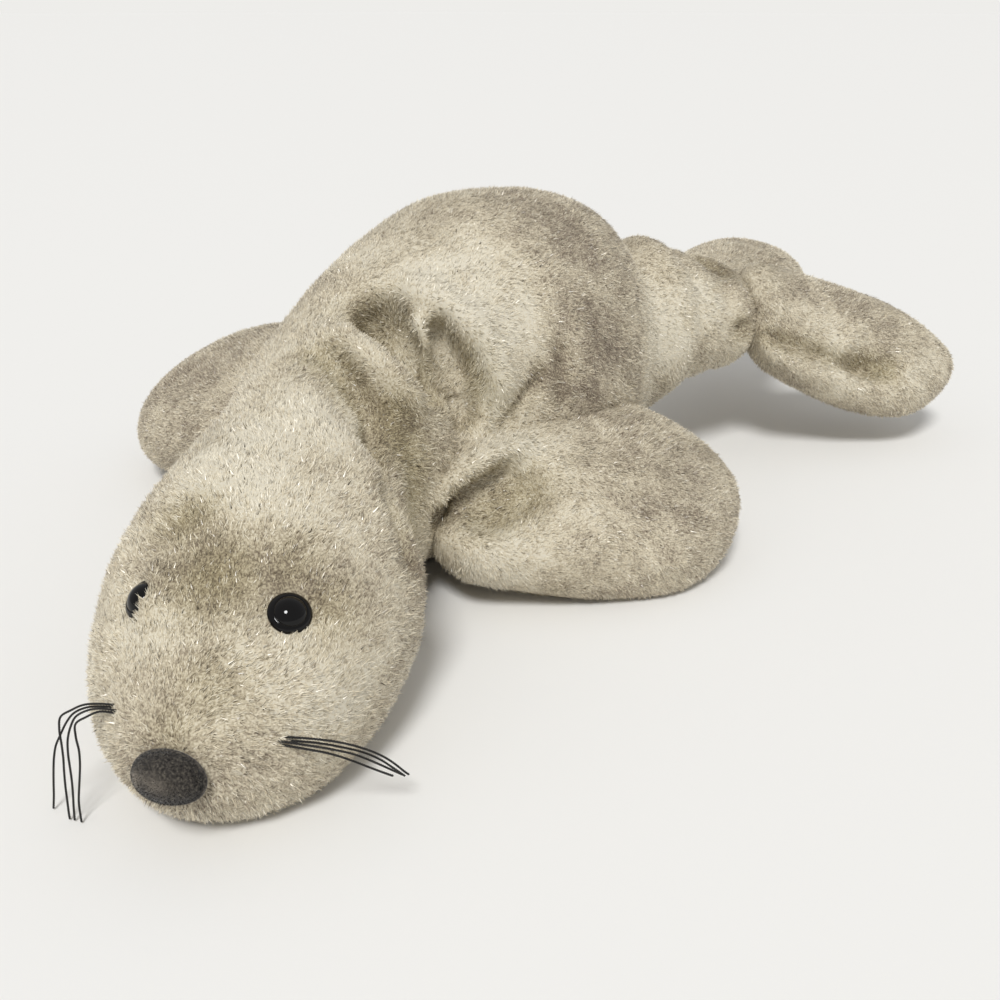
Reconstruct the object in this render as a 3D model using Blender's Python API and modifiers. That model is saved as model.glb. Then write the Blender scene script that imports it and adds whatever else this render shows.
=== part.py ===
# Plush seal lying on its belly: a stuffed cover with sewn-on flippers, moulded eyes and nose,
# and whiskers of waxed thread. Units are metres, +Z is up, the tail points along +Y, and the
# seal's own left side is +X. The head is turned to the left, and the tail bends to the left too.
import math

import bmesh
import bpy
import numpy as np
from mathutils import Matrix, Vector

# Head, from the front of the muzzle to the nape
HEAD_LENGTH = 0.150
HEAD_WIDTH = 0.092
HEAD_HEIGHT = 0.084
NOSE_HEIGHT = 0.0255

# Trunk, from the nape to the seam where the tail stem starts
TRUNK_LENGTH = 0.185
TRUNK_WIDTH = 0.132
TRUNK_HEIGHT = 0.131

# Tail stem, from that seam to the seam of the hind flippers
STEM_LENGTH = 0.066
STEM_WIDTH = 0.062
STEM_HEIGHT = 0.050
STEM_LIFT = 0.032

# How the spine turns in the plan view, in degrees from +Y towards -X
MUZZLE_TURN = 26
NAPE_TURN = 33
TAIL_TURN = -24

# Fore flippers: stuffed pouches sewn to the flanks
FORE_LENGTH = 0.134
FORE_WIDTH = 0.100
FORE_THICKNESS = 0.052

# Hind flippers: stuffed pouches sewn side by side to the end of the stem
HIND_LENGTH = 0.122
HIND_WIDTH = 0.066
HIND_THICKNESS = 0.038
HIND_TUCK = 0.008

# Eyes and nose, each a moulding with a peg through the cover and a lock washer on the peg
EYE_DIAMETER = 0.012
EYE_DOME = 0.0040
EYE_SPACING = 0.043
EYE_BACK = 0.0365
EYE_SUNK = 0.0020
NOSE_WIDTH = 0.021
NOSE_TALL = 0.0142
NOSE_DOME = 0.0050
NOSE_TILT = 18
NOSE_ASIDE = 0.0015
NOSE_SUNK = 0.0026
RIM = 0.0010
PEG_DIAMETER = 0.0035
PEG_LENGTH = 0.011
WASHER_DIAMETER = 0.013
WASHER_THICKNESS = 0.0016
WASHER_DEPTH = 0.0045

# Whiskers
THREAD_DIAMETER = 0.0008
WHISKER_SPACING = 0.0013

# Fits: between pieces that are sewn or pressed together, and around the pegs
SEAM_GAP = 0.0003
PEG_GAP = 0.0003

# How finely the soft skins are divided
BODY_AROUND = 56
POUCH_RINGS = 24
POUCH_AROUND = 32
TURNED_STEPS = 28
SPINE_STEPS = 400
FOLD_STEPS = 40

HEAD, TRUNK, STEM = "head", "trunk", "stem"
LENGTHS = {HEAD: HEAD_LENGTH, TRUNK: TRUNK_LENGTH, STEM: STEM_LENGTH}
WIDTHS = {HEAD: HEAD_WIDTH, TRUNK: TRUNK_WIDTH, STEM: STEM_WIDTH}
HEIGHTS = {HEAD: HEAD_HEIGHT, TRUNK: TRUNK_HEIGHT, STEM: STEM_HEIGHT}
LIFTS = {HEAD: 0, TRUNK: 0, STEM: STEM_LIFT}
BODY_LENGTH = sum(LENGTHS.values())

# Sections of the body: the stretch and the place on it as a share of its length, then the width,
# the top, the bottom and the height of the widest line as shares of that stretch's width and
# height, and how square the section is (2 is an ellipse). A bottom below the table is pressed
# flat on it.
SECTIONS = (
    (HEAD, 0.00, 0.34, 0.42, 0.03, 0.24, 2.0),
    (HEAD, 0.08, 0.56, 0.53, -0.02, 0.24, 2.1),
    (HEAD, 0.17, 0.74, 0.63, -0.04, 0.26, 2.2),
    (HEAD, 0.27, 0.88, 0.74, -0.05, 0.30, 2.2),
    (HEAD, 0.38, 0.97, 0.85, -0.05, 0.36, 2.2),
    (HEAD, 0.52, 1.00, 0.94, -0.04, 0.40, 2.2),
    (HEAD, 0.70, 0.94, 1.00, -0.02, 0.44, 2.2),
    (HEAD, 0.88, 0.85, 1.06, 0.02, 0.48, 2.2),
    (TRUNK, 0.08, 0.68, 0.74, 0.00, 0.36, 2.1),
    (TRUNK, 0.22, 0.77, 0.84, -0.03, 0.38, 2.1),
    (TRUNK, 0.38, 0.90, 0.94, -0.05, 0.40, 2.1),
    (TRUNK, 0.54, 1.00, 1.00, -0.05, 0.42, 2.1),
    (TRUNK, 0.70, 0.95, 0.99, -0.04, 0.43, 2.1),
    (TRUNK, 0.85, 0.80, 0.93, 0.02, 0.45, 2.1),
    (TRUNK, 1.00, 0.58, 0.77, 0.14, 0.46, 2.1),
    (STEM, 0.15, 1.18, 1.38, -0.04, 0.58, 2.0),
    (STEM, 0.55, 1.04, 1.22, 0.14, 0.60, 2.0),
    (STEM, 1.00, 0.96, 1.14, 0.18, 0.62, 2.0),
)

# The spine's turn at places along the stretches
TURNS = (
    (HEAD, 0.00, MUZZLE_TURN),
    (HEAD, 0.50, NAPE_TURN),
    (HEAD, 0.95, NAPE_TURN),
    (TRUNK, 0.20, 13),
    (TRUNK, 0.50, 0),
    (TRUNK, 0.80, -10),
    (STEM, 0.00, TAIL_TURN),
    (STEM, 1.00, TAIL_TURN),
)

# Rings of the body's mesh in each piece of a stretch, closest together at the neck and the stem
RING_COUNTS = (
    (HEAD, 0.00, 0.12, 7),
    (HEAD, 0.12, 0.50, 10),
    (HEAD, 0.50, 1.00, 20),
    (TRUNK, 0.00, 0.30, 15),
    (TRUNK, 0.30, 0.90, 15),
    (TRUNK, 0.90, 1.00, 5),
    (STEM, 0.00, 0.90, 17),
    (STEM, 0.90, 1.00, 4),
)

# Folds and hollows of the body: height (a hollow is below 0), half width, and the line that it
# follows, as places on the stretches and turns in degrees from the left side over the top.
BODY_FOLDS = (
    # back edge of the head, and the slack neck behind it
    (0.0025, 0.0065, ((HEAD, 0.89, 89), (HEAD, 0.79, 75), (HEAD, 0.70, 61), (HEAD, 0.61, 46))),
    (0.0020, 0.0070, ((HEAD, 0.57, 42), (HEAD, 0.53, 30), (HEAD, 0.51, 14))),
    (
        -0.0090,
        0.0062,
        (
            (HEAD, 0.90, 82),
            (HEAD, 0.82, 69),
            (HEAD, 0.76, 58),
            (HEAD, 0.71, 46),
            (HEAD, 0.67, 32),
            (HEAD, 0.64, 14),
            (HEAD, 0.64, -6),
        ),
    ),
    (-0.0060, 0.0120, ((HEAD, 0.86, 40), (HEAD, 0.80, 20), (HEAD, 0.80, -5))),
    # middle fold
    (
        0.0070,
        0.0050,
        ((TRUNK, 0.03, 83), (HEAD, 0.98, 65), (HEAD, 0.96, 47), (TRUNK, 0.03, 34), (TRUNK, 0.09, 28)),
    ),
    # deep hollow between the middle fold and the curled one
    (
        -0.0130,
        0.0065,
        ((TRUNK, 0.15, 76), (TRUNK, 0.10, 69), (TRUNK, 0.06, 60), (TRUNK, 0.05, 48), (TRUNK, 0.07, 38)),
    ),
    # curled fold
    (0.0065, 0.0042, ((TRUNK, 0.15, 55), (TRUNK, 0.12, 48), (TRUNK, 0.11, 38), (TRUNK, 0.11, 31))),
    # crease behind it, ending in the gap at the armpit
    (-0.0095, 0.0050, ((TRUNK, 0.18, 50), (TRUNK, 0.15, 39), (TRUNK, 0.14, 29), (TRUNK, 0.13, 16))),
    # rim of the trunk above that crease
    (
        0.0030,
        0.0060,
        ((TRUNK, 0.16, 64), (TRUNK, 0.21, 54), (TRUNK, 0.25, 45), (TRUNK, 0.27, 34), (TRUNK, 0.27, 22)),
    ),
    # creases of the flank, above the fore flipper
    (-0.0018, 0.0040, ((TRUNK, 0.38, 16), (TRUNK, 0.31, 12), (TRUNK, 0.25, 8))),
    (-0.0015, 0.0040, ((TRUNK, 0.44, 24), (TRUNK, 0.43, 17), (TRUNK, 0.42, 9))),
    # the face: hollows around the eyes and across the bridge
    (-0.0018, 0.0085, ((HEAD, 0.24, 60),)),
    (-0.0018, 0.0085, ((HEAD, 0.24, 120),)),
    (-0.0012, 0.0090, ((HEAD, 0.26, 75), (HEAD, 0.26, 105))),
)

# Rings around the tail: its seam and the gathers of the stem. Height, half width, place on the
# stem, how far each leans along the stem, and the turn at which it is fullest, in degrees.
STEM_GATHERS = (
    (-0.0035, 0.0045, 0.00, 0.000, 60),
    (0.0032, 0.0050, 0.17, 0.001, 40),
    (-0.0024, 0.0028, 0.33, 0.003, 60),
    (0.0018, 0.0030, 0.46, -0.002, 100),
    (-0.0018, 0.0026, 0.58, 0.004, 20),
    (0.0014, 0.0028, 0.70, -0.003, 150),
    (-0.0014, 0.0026, 0.82, 0.002, 50),
)

# Shape of a pouch along its length: the place, then its width and thickness as shares
FORE_SHAPE = (
    (0.00, 0.72, 0.76),
    (0.20, 0.84, 0.90),
    (0.42, 0.96, 1.00),
    (0.62, 1.00, 0.98),
    (0.80, 0.93, 0.86),
    (1.00, 0.70, 0.66),
)
HIND_SHAPE = (
    (0.00, 0.70, 0.96),
    (0.20, 0.90, 1.00),
    (0.45, 1.00, 1.00),
    (0.68, 0.95, 0.94),
    (0.86, 0.78, 0.80),
    (1.00, 0.55, 0.60),
)

# The pouches: their shape and size, the place of the root on the body and its height, the bearing
# from +Y towards +X, the fall from root to tip, and the turn about their own length
FORE_SIZE = (FORE_SHAPE, FORE_LENGTH, FORE_WIDTH, FORE_THICKNESS)
HIND_SIZE = (HIND_SHAPE, HIND_LENGTH, HIND_WIDTH, HIND_THICKNESS)
STEM_MIDDLE = STEM_LIFT + 0.58 * STEM_HEIGHT
POUCHES = (
    ("fore_flipper_left", FORE_SIZE, (TRUNK, 0.06, 0.56), 0.036, 31, 0.012, -20),
    ("fore_flipper_right", FORE_SIZE, (TRUNK, 0.28, -0.58), 0.048, -82, 0.018, 20),
    ("hind_flipper_left", HIND_SIZE, (STEM, 1.0, 0.42), STEM_MIDDLE + 0.009, 38, 0.034, -44),
    ("hind_flipper_right", HIND_SIZE, (STEM, 1.0, -0.42), STEM_MIDDLE + 0.004, -15, 0.002, -10),
)
POUCH_FOLDS = {
    # place along the pouch and turn from its outer edge over its top
    "fore_flipper_left": (
        (0.0040, 0.0060, ((0.04, 66), (0.12, 72), (0.20, 82))),
        (-0.0060, 0.0042, ((0.02, 48), (0.09, 55), (0.16, 66), (0.24, 74))),
        (-0.0040, 0.0080, ((0.17, 52), (0.27, 58))),
        (-0.0030, 0.0050, ((0.02, 38), (0.08, 46))),
        (-0.0015, 0.0030, ((0.40, 6), (0.60, 4), (0.80, 4))),
    ),
    "hind_flipper_left": (
        (-0.0035, 0.0040, ((0.02, 60), (0.14, 60), (0.26, 57), (0.39, 58), (0.50, 56))),
        (-0.0030, 0.0070, ((0.48, 66), (0.56, 60))),
    ),
    "hind_flipper_right": ((-0.0070, 0.0070, ((0.12, 62), (0.24, 56), (0.36, 50))),),
}

# The whiskers: the place of each side's tuft on the head, and the route of each strand from its
# root, in mm: out from the cheek, forward and down. The last heights are cut off at the table.
WHISKER_TUFTS = {"left": (1, 0.116, 17), "right": (-1, 0.096, 146)}
WHISKER_ROUTES = {
    "left": (
        (
            *((0, 0, 0), (7.8, -1.6, 1.1), (13.7, -4.2, 3.2)),
            *((17.9, -7.6, 6.4), (22, -11, 10.6), (27.3, -15, 16.1)),
        ),
        (
            *((0, 0, 0), (6.9, -1.6, 1.3), (11.7, -4.2, 3.6)),
            *((15.5, -7.2, 6.8), (18.6, -10.2, 10.3), (24.4, -15, 16)),
        ),
        (
            *((0, 0, 0), (7.7, -1.6, 0.3), (14.4, -4.2, 2.2)),
            *((18.9, -7.6, 5.6), (22.7, -11, 10), (27.4, -15.2, 17.5)),
        ),
        (
            *((0, 0, 0), (6.1, -2.4, 1.1), (12.4, -5.4, 3.4)),
            *((16.9, -9, 6.8), (20.5, -12.8, 11.4), (25, -17.6, 19.1)),
        ),
    ),
    "right": (
        (
            *((0, 0, 0), (5, 1.3, -0.6), (8, 1.8, 0.5)),
            *((10.8, 2.3, 2.2), (12.5, 2.8, 5.2), (13.8, 3.3, 9.1)),
            *((14, 3.8, 12.6), (13.9, 4.3, 16.7), (13.6, 4.9, 21.4), (13.8, 5.5, 26.8), (13.9, 6.2, 40)),
        ),
        (
            *((0, 0, 0), (4.3, 1.4, -0.5), (6.8, 2.4, 0.7)),
            *((9.2, 2.9, 2.1), (10.6, 3.2, 4.3), (10.5, 3.5, 6.9)),
            *((10, 3.8, 10), (10, 4.2, 14.1), (10.8, 5, 21), (11.4, 5.8, 27), (11.1, 6.4, 40)),
        ),
        (
            *((0, 0, 0), (5.2, 1.5, -0.4), (8.1, 2.1, 0.2)),
            *((10.9, 2.6, 1.7), (14, 3.2, 3.6), (15.3, 3.5, 5.8)),
            *((15, 4.1, 9.1), (14.6, 4.8, 13.9), (14.7, 5.5, 19.2), (14.6, 6.3, 25.1), (14.2, 7.4, 40)),
        ),
        (
            *((0, 0, 0), (5.1, 0.7, 0.2), (8.3, 0.9, 1.2)),
            *((11.1, 1.3, 2.8), (13.3, 1.7, 5.3), (15.2, 2.2, 9)),
            *((17, 2.7, 12.2), (18.3, 3.1, 16.3), (19.2, 3.7, 22.3), (19.9, 4.2, 28.7), (20.5, 4.6, 40)),
        ),
    ),
}


def along(stretch, share):
    """Distance from the front of the muzzle, along the spine."""
    before = list(LENGTHS).index(stretch)
    return sum(list(LENGTHS.values())[:before]) + share * LENGTHS[stretch]


def smooth_through(knots, values, at):
    """Values on a smooth curve through the knots, with no overshoot past a highest or lowest."""
    knots, values = np.asarray(knots, float), np.asarray(values, float)
    steps = np.diff(knots)
    slopes = np.diff(values) / steps
    tangents = np.zeros(len(knots))
    tangents[0], tangents[-1] = slopes[0], slopes[-1]
    for i in range(1, len(knots) - 1):
        if slopes[i - 1] * slopes[i] > 0:
            a = 2 * steps[i] + steps[i - 1]
            b = steps[i] + 2 * steps[i - 1]
            tangents[i] = (a + b) / (a / slopes[i - 1] + b / slopes[i])
    at = np.clip(np.asarray(at, float), knots[0], knots[-1])
    i = np.clip(np.searchsorted(knots, at, side="right") - 1, 0, len(steps) - 1)
    h = steps[i]
    t = (at - knots[i]) / h
    return (
        (2 * t**3 - 3 * t**2 + 1) * values[i]
        + (t**3 - 2 * t**2 + t) * h * tangents[i]
        + (3 * t**2 - 2 * t**3) * values[i + 1]
        + (t**3 - t**2) * h * tangents[i + 1]
    )


def make_spine():
    """Distances, x, y and turn along the spine, with the trunk's middle at x = y = 0."""
    s = np.linspace(0, BODY_LENGTH, SPINE_STEPS + 1)
    knots = [along(stretch, share) for stretch, share, _ in TURNS]
    turn = smooth_through(knots, [math.radians(row[2]) for row in TURNS], s)
    mid = (turn[1:] + turn[:-1]) / 2
    x = np.concatenate([[0], np.cumsum(-np.sin(mid)) * s[1]])
    y = np.concatenate([[0], np.cumsum(np.cos(mid)) * s[1]])
    middle = along(TRUNK, 0.5)
    return s, x - np.interp(middle, s, x), y - np.interp(middle, s, y), turn


SPINE = make_spine()


def spine_at(s):
    """x, y and turn of the spine at distance s."""
    return [np.interp(s, SPINE[0], column) for column in SPINE[1:]]


def section_at(s):
    """Half width, top, bottom, widest height and squareness of the body at distance s."""
    knots, rows = [], []
    for stretch, share, width, top, bottom, widest, square in SECTIONS:
        knots.append(along(stretch, share))
        heights = [LIFTS[stretch] + k * HEIGHTS[stretch] for k in (top, bottom, widest)]
        rows.append((width * WIDTHS[stretch] / 2, *heights, square))
    return [smooth_through(knots, column, s) for column in zip(*rows)]


def end_rounding(s):
    """How far the section has grown: 0 at the two ends of the body, 1 away from them."""
    front = np.clip(s / (0.22 * HEAD_LENGTH), 0, 1)
    back = np.clip((BODY_LENGTH - s) / (0.22 * STEM_LENGTH), 0, 1)
    return np.sqrt(1 - (1 - front) ** 2) * np.sqrt(1 - (1 - back) ** 2)


def superellipse(turn, square):
    """Cosine and sine of a turn, squared off by the exponent (2 leaves a circle)."""
    cosine, sine = np.cos(turn), np.sin(turn)
    return (
        np.sign(cosine) * np.abs(cosine) ** (2 / square),
        np.sign(sine) * np.abs(sine) ** (2 / square),
    )


def plain_skin(s, turn):
    """Points of the body without folds, at distances s, turned from its left over its top."""
    s, turn = np.broadcast_arrays(np.asarray(s, float), np.asarray(turn, float))
    half_width, top, bottom, widest, square = section_at(s)
    x, y, heading = spine_at(s)
    grown = end_rounding(s)
    tip = np.where(s < BODY_LENGTH / 2, NOSE_HEIGHT, (top + bottom) / 2)
    across, up = superellipse(turn, square)
    side = across * half_width * grown
    z = widest + up * np.where(up > 0, top - widest, widest - bottom)
    z = tip + (z - tip) * grown
    return np.stack([x + side * np.cos(heading), y + side * np.sin(heading), z], -1)


def grid_normals(points):
    """Outward normals of a closed grid, rings along the first axis."""
    around = np.roll(points, -1, 1) - np.roll(points, 1, 1)
    ahead = np.gradient(points, axis=0)
    normals = np.cross(ahead, around)
    return normals / np.linalg.norm(normals, axis=-1, keepdims=True)


def skin_normal(s, turn):
    """Outward normal of the plain body."""
    step = 0.001
    ahead = plain_skin(s + step, turn) - plain_skin(s - step, turn)
    around = plain_skin(s, turn + step) - plain_skin(s, turn - step)
    return Vector(np.cross(ahead, around)).normalized()


def fold_line(path, skin):
    """Points in space along a fold's path of (distance, degrees) pairs on a skin."""
    distances = [place for place, _ in path]
    degrees = [turn for _, turn in path]
    if len(path) == 1:
        return skin(np.array(distances), np.radians(degrees))
    knots = np.arange(len(path))
    at = np.linspace(0, len(path) - 1, FOLD_STEPS)
    turns = np.radians(smooth_through(knots, degrees, at))
    return skin(smooth_through(knots, distances, at), turns)


def raise_folds(points, folds, skin):
    """Points moved along their normals by ridges and hollows that follow fold lines."""
    moved = np.zeros(points.shape[:-1])
    for height, spread, path in folds:
        line = fold_line(path, skin)
        away = np.full(moved.shape, np.inf)
        for place in line:
            away = np.minimum(away, np.linalg.norm(points - place, axis=-1))
        moved += height * np.exp(-0.5 * (away / spread) ** 2)
    return points + moved[..., None] * grid_normals(points)


def material(name, colour, roughness):
    made = bpy.data.materials.new(name)
    made.use_nodes = True
    shader = made.node_tree.nodes["Principled BSDF"]
    shader.inputs["Base Color"].default_value = (*colour, 1)
    shader.inputs["Roughness"].default_value = roughness
    shader.inputs["Metallic"].default_value = 0.0
    return made


def loft(name, rings, tips):
    """Closed mesh through rings of points, with a single point at each end."""
    count, around = rings.shape[:2]
    points = [tuple(p) for p in rings.reshape(-1, 3)] + [tuple(p) for p in tips]
    faces = []
    for i in range(count - 1):
        for j in range(around):
            k = (j + 1) % around
            here, there = i * around, (i + 1) * around
            faces.append((here + j, here + k, there + k, there + j))
    last = (count - 1) * around
    for j in range(around):
        k = (j + 1) % around
        faces.append((len(points) - 2, k, j))
        faces.append((len(points) - 1, last + j, last + k))
    mesh = bpy.data.meshes.new(name)
    mesh.from_pydata(points, [], faces)
    work = bmesh.new()
    work.from_mesh(mesh)
    bmesh.ops.recalc_face_normals(work, faces=work.faces)
    work.to_mesh(mesh)
    work.free()
    mesh.shade_smooth()
    return mesh


def add(name, data, collection, made=None):
    ob = bpy.data.objects.new(name, data)
    collection.objects.link(ob)
    if made:
        data.materials.append(made)
    return ob


def as_guide(ob):
    ob.hide_render = True
    ob.display_type = "WIRE"
    return ob


def cut(ob, cutter):
    knife = ob.modifiers.new("cut " + cutter.name, "BOOLEAN")
    knife.operation = "DIFFERENCE"
    knife.object = cutter


def ring_places():
    """Distances of the body's rings, with the one at each end left to a single point."""
    places = []
    for stretch, start, end, count in RING_COUNTS:
        shares = np.linspace(start, end, count, endpoint=False)
        places.extend(along(stretch, share) for share in shares)
    first = places[1] / 8
    last = BODY_LENGTH - (BODY_LENGTH - places[-1]) / 4
    return np.array([first, places[1] / 3, *places[1:], last])


def make_body(parts, plush):
    s = ring_places()
    turn = np.linspace(0, 2 * math.pi, BODY_AROUND, endpoint=False)
    points = plain_skin(s[:, None], turn[None, :])
    folds = [
        (height, spread, [(along(stretch, share), turn) for stretch, share, turn in path])
        for height, spread, path in BODY_FOLDS
    ]
    points = raise_folds(points, folds, plain_skin)
    drawn = np.zeros(points.shape[:-1])
    for height, spread, share, lean, fullest in STEM_GATHERS:
        side = np.cos(turn - math.radians(fullest))[None, :]
        away = s[:, None] - along(STEM, share) - lean * side
        drawn += height * (0.7 + 0.3 * side) * np.exp(-0.5 * (away / spread) ** 2)
    points = points + drawn[..., None] * grid_normals(points)
    points[..., 2] = np.maximum(points[..., 2], 0)
    tips = plain_skin(np.array([0.0, BODY_LENGTH]), np.array([0.0, 0.0]))
    body = add("body", loft("body", points, tips), parts, plush)
    return body


def make_seat(ob, cutters):
    """Cutter that leaves a seam's gap between this piece and the one sewn to it."""
    seat = add(ob.name + "_side", ob.data.copy(), cutters)
    for vertex in seat.data.vertices:
        vertex.co += vertex.normal * SEAM_GAP
    return as_guide(seat)


def make_pouch(name, size, place, height, bearing, drop, roll, parts, plush):
    """A stuffed pouch from its root in the body, falling by drop from root to tip."""
    shape, length, width, thickness = size
    stretch, share, side = place
    s = along(stretch, share) - (HIND_TUCK if stretch == STEM else 0)
    x, y, heading = spine_at(s)
    reach = side * section_at(s)[0]
    root = np.array([x + reach * math.cos(heading), y + reach * math.sin(heading), height])
    bearing, roll = math.radians(bearing), math.radians(roll)
    run = math.sqrt(length**2 - drop**2)
    ahead = np.array([math.sin(bearing), math.cos(bearing), 0])
    level = np.array([math.cos(bearing), -math.sin(bearing), 0])
    up = np.array([0, 0, 1.0])
    across = math.cos(roll) * level + math.sin(roll) * up
    out = math.cos(roll) * up - math.sin(roll) * level
    knots = [row[0] for row in shape]

    def pouch_skin(t, turn):
        t, turn = np.broadcast_arrays(np.asarray(t, float), np.asarray(turn, float))
        grown = np.sqrt(1 - np.clip((t - 0.62) / 0.38, 0, 1) ** 2.2)
        grown = grown * np.sqrt(1 - np.clip((0.12 - t) / 0.12, 0, 1) ** 2)
        half_width = smooth_through(knots, [row[1] for row in shape], t) * grown * width / 2
        half_thick = smooth_through(knots, [row[2] for row in shape], t) * grown * thickness / 2
        wide, thick = superellipse(turn, 2.1)
        fall = drop * np.sin(t * math.pi / 2)
        return (
            root
            + (t * run)[..., None] * ahead
            - fall[..., None] * up
            + (half_width * wide)[..., None] * across
            + (half_thick * thick)[..., None] * out
        )

    even = np.linspace(0, 1, POUCH_RINGS + 2)[1:-1]
    t = (even + (1 - np.cos(math.pi * even)) / 2) / 2
    turn = np.linspace(0, 2 * math.pi, POUCH_AROUND, endpoint=False)
    points = pouch_skin(t[:, None], turn[None, :])
    points = raise_folds(points, POUCH_FOLDS.get(name, ()), pouch_skin)
    points[..., 2] = np.maximum(points[..., 2], 0)
    tips = pouch_skin(np.array([0.0, 1.0]), np.array([0.0, 0.0]))
    tips[:, 2] = np.maximum(tips[:, 2], SEAM_GAP)
    return add(name, loft(name, points, tips), parts, plush)


def turned(name, profile, collection, placed, made=None, stretch=1.0):
    """Turned solid from a profile of (radius, height), listed from the top down its outside.
    stretch widens it along its own X, for an oval."""
    mesh = bpy.data.meshes.new(name)
    points = [(radius, 0, height) for radius, height in profile]
    mesh.from_pydata(points, [(i, i + 1) for i in range(len(points) - 1)], [])
    ob = add(name, mesh, collection, made)
    screw = ob.modifiers.new("turn", "SCREW")
    screw.steps = TURNED_STEPS
    screw.render_steps = TURNED_STEPS
    screw.use_merge_vertices = True
    screw.merge_threshold = 0.00001
    screw.use_smooth_shade = True
    ob.matrix_world = placed @ Matrix.Diagonal((stretch, 1, 1, 1))
    return ob


def dome(radius, height, steps=6):
    """Quarter of an ellipse from its top, down to where it meets a rim."""
    turns = [math.pi / 2 * i / steps for i in range(steps + 1)]
    return [(radius * math.sin(turn), height * math.cos(turn)) for turn in turns]


def make_moulding(name, washer, radius, rise, stretch, placed, collections, materials):
    """A domed moulding with a peg, and its lock washer. Its seat is at height 0."""
    parts, cutters = collections
    moulded, washer_plastic = materials
    peg = PEG_DIAMETER / 2
    flange = 0.92 * radius
    profile = [(r, h + RIM) for r, h in dome(flange, rise)]
    profile += [(radius, 0.9 * RIM), (radius, 0.3 * RIM), (0.94 * radius, 0)]
    profile += [(peg / stretch, 0), (peg / stretch, -PEG_LENGTH), (0, -PEG_LENGTH)]
    turned(name, profile, parts, placed, moulded, stretch)
    top, bottom = -WASHER_DEPTH, -WASHER_DEPTH - WASHER_THICKNESS
    hole, edge = peg + PEG_GAP, WASHER_DIAMETER / 2
    ring = [(hole, top), (edge, top), (edge, bottom), (hole, bottom), (hole, top)]
    turned(washer, ring, parts, placed, washer_plastic)
    above = RIM + rise
    seat = [(0, above), (radius + PEG_GAP, above), (radius + PEG_GAP, -SEAM_GAP), (0, -SEAM_GAP)]
    shaft = [
        (0, above),
        (hole, above),
        (hole, top + SEAM_GAP),
        (edge + PEG_GAP, top + SEAM_GAP),
        (edge + PEG_GAP, bottom - SEAM_GAP),
        (hole, bottom - SEAM_GAP),
        (hole, -PEG_LENGTH - SEAM_GAP),
        (0, -PEG_LENGTH - SEAM_GAP),
    ]
    return (
        as_guide(turned(name + "_seat", seat, cutters, placed, None, stretch)),
        as_guide(turned(name + "_shaft", shaft, cutters, placed)),
    )


def frame_at(point, normal, level):
    """Placement with Z along the normal and X as near as can be along level."""
    z = Vector(normal).normalized()
    x = Vector(level) - z * z.dot(Vector(level))
    x.normalize()
    placed = Matrix((x, z.cross(x), z)).transposed().to_4x4()
    placed.translation = point
    return placed


def turn_for_side(s, side):
    """Turn on the upper half of the section at s that lies at the given side distance."""
    turns = np.linspace(0, math.pi, 721)
    x, y, heading = spine_at(s)
    points = plain_skin(s, turns)
    sides = (points[:, 0] - x) * math.cos(heading) + (points[:, 1] - y) * math.sin(heading)
    return float(np.interp(-side, -sides, turns))


def make_face(body, collections, materials):
    left = Vector((math.cos(math.radians(MUZZLE_TURN)), math.sin(math.radians(MUZZLE_TURN)), 0))
    forward = Vector((left.y, -left.x, 0))
    moulded, flock, washer_plastic = materials
    guides = []
    for name, side in (("left", 1), ("right", -1)):
        turn = turn_for_side(EYE_BACK, side * EYE_SPACING / 2)
        normal = skin_normal(EYE_BACK, turn)
        point = Vector(plain_skin(EYE_BACK, turn)) - normal * EYE_SUNK
        placed = frame_at(point, normal, left)
        guides += make_moulding(
            "eye_" + name,
            "eye_washer_" + name,
            EYE_DIAMETER / 2,
            EYE_DOME,
            1.0,
            placed,
            collections,
            (moulded, washer_plastic),
        )
    tilt = math.radians(NOSE_TILT)
    normal = forward * math.cos(tilt) + Vector((0, 0, math.sin(tilt)))
    point = Vector(plain_skin(0.0, 0.0)) - normal * NOSE_SUNK + left * NOSE_ASIDE
    placed = frame_at(point, normal, left)
    guides += make_moulding(
        "nose",
        "nose_washer",
        NOSE_TALL / 2,
        NOSE_DOME,
        NOSE_WIDTH / NOSE_TALL,
        placed,
        collections,
        (flock, washer_plastic),
    )
    for guide in guides:
        cut(body, guide)


def smooth_route(points, spacing):
    """Points about spacing apart on a smooth curve through the route's own points."""
    points = [Vector(p) for p in points]
    padded = [2 * points[0] - points[1], *points, 2 * points[-1] - points[-2]]
    dense = []
    for i in range(1, len(padded) - 2):
        a, b, c, d = padded[i - 1 : i + 3]
        for t in np.linspace(0, 1, 24, endpoint=False):
            dense.append(
                0.5
                * (
                    2 * b
                    + (c - a) * t
                    + (2 * a - 5 * b + 4 * c - d) * t**2
                    + (3 * b - a - 3 * c + d) * t**3
                )
            )
    dense.append(points[-1])
    reached = np.concatenate([[0], np.cumsum([(q - p).length for p, q in zip(dense, dense[1:])])])
    count = max(2, round(reached[-1] / spacing))
    at = np.linspace(0, reached[-1], count + 1)
    columns = [np.interp(at, reached, [p[k] for p in dense]) for k in range(3)]
    return list(zip(*columns))


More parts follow.
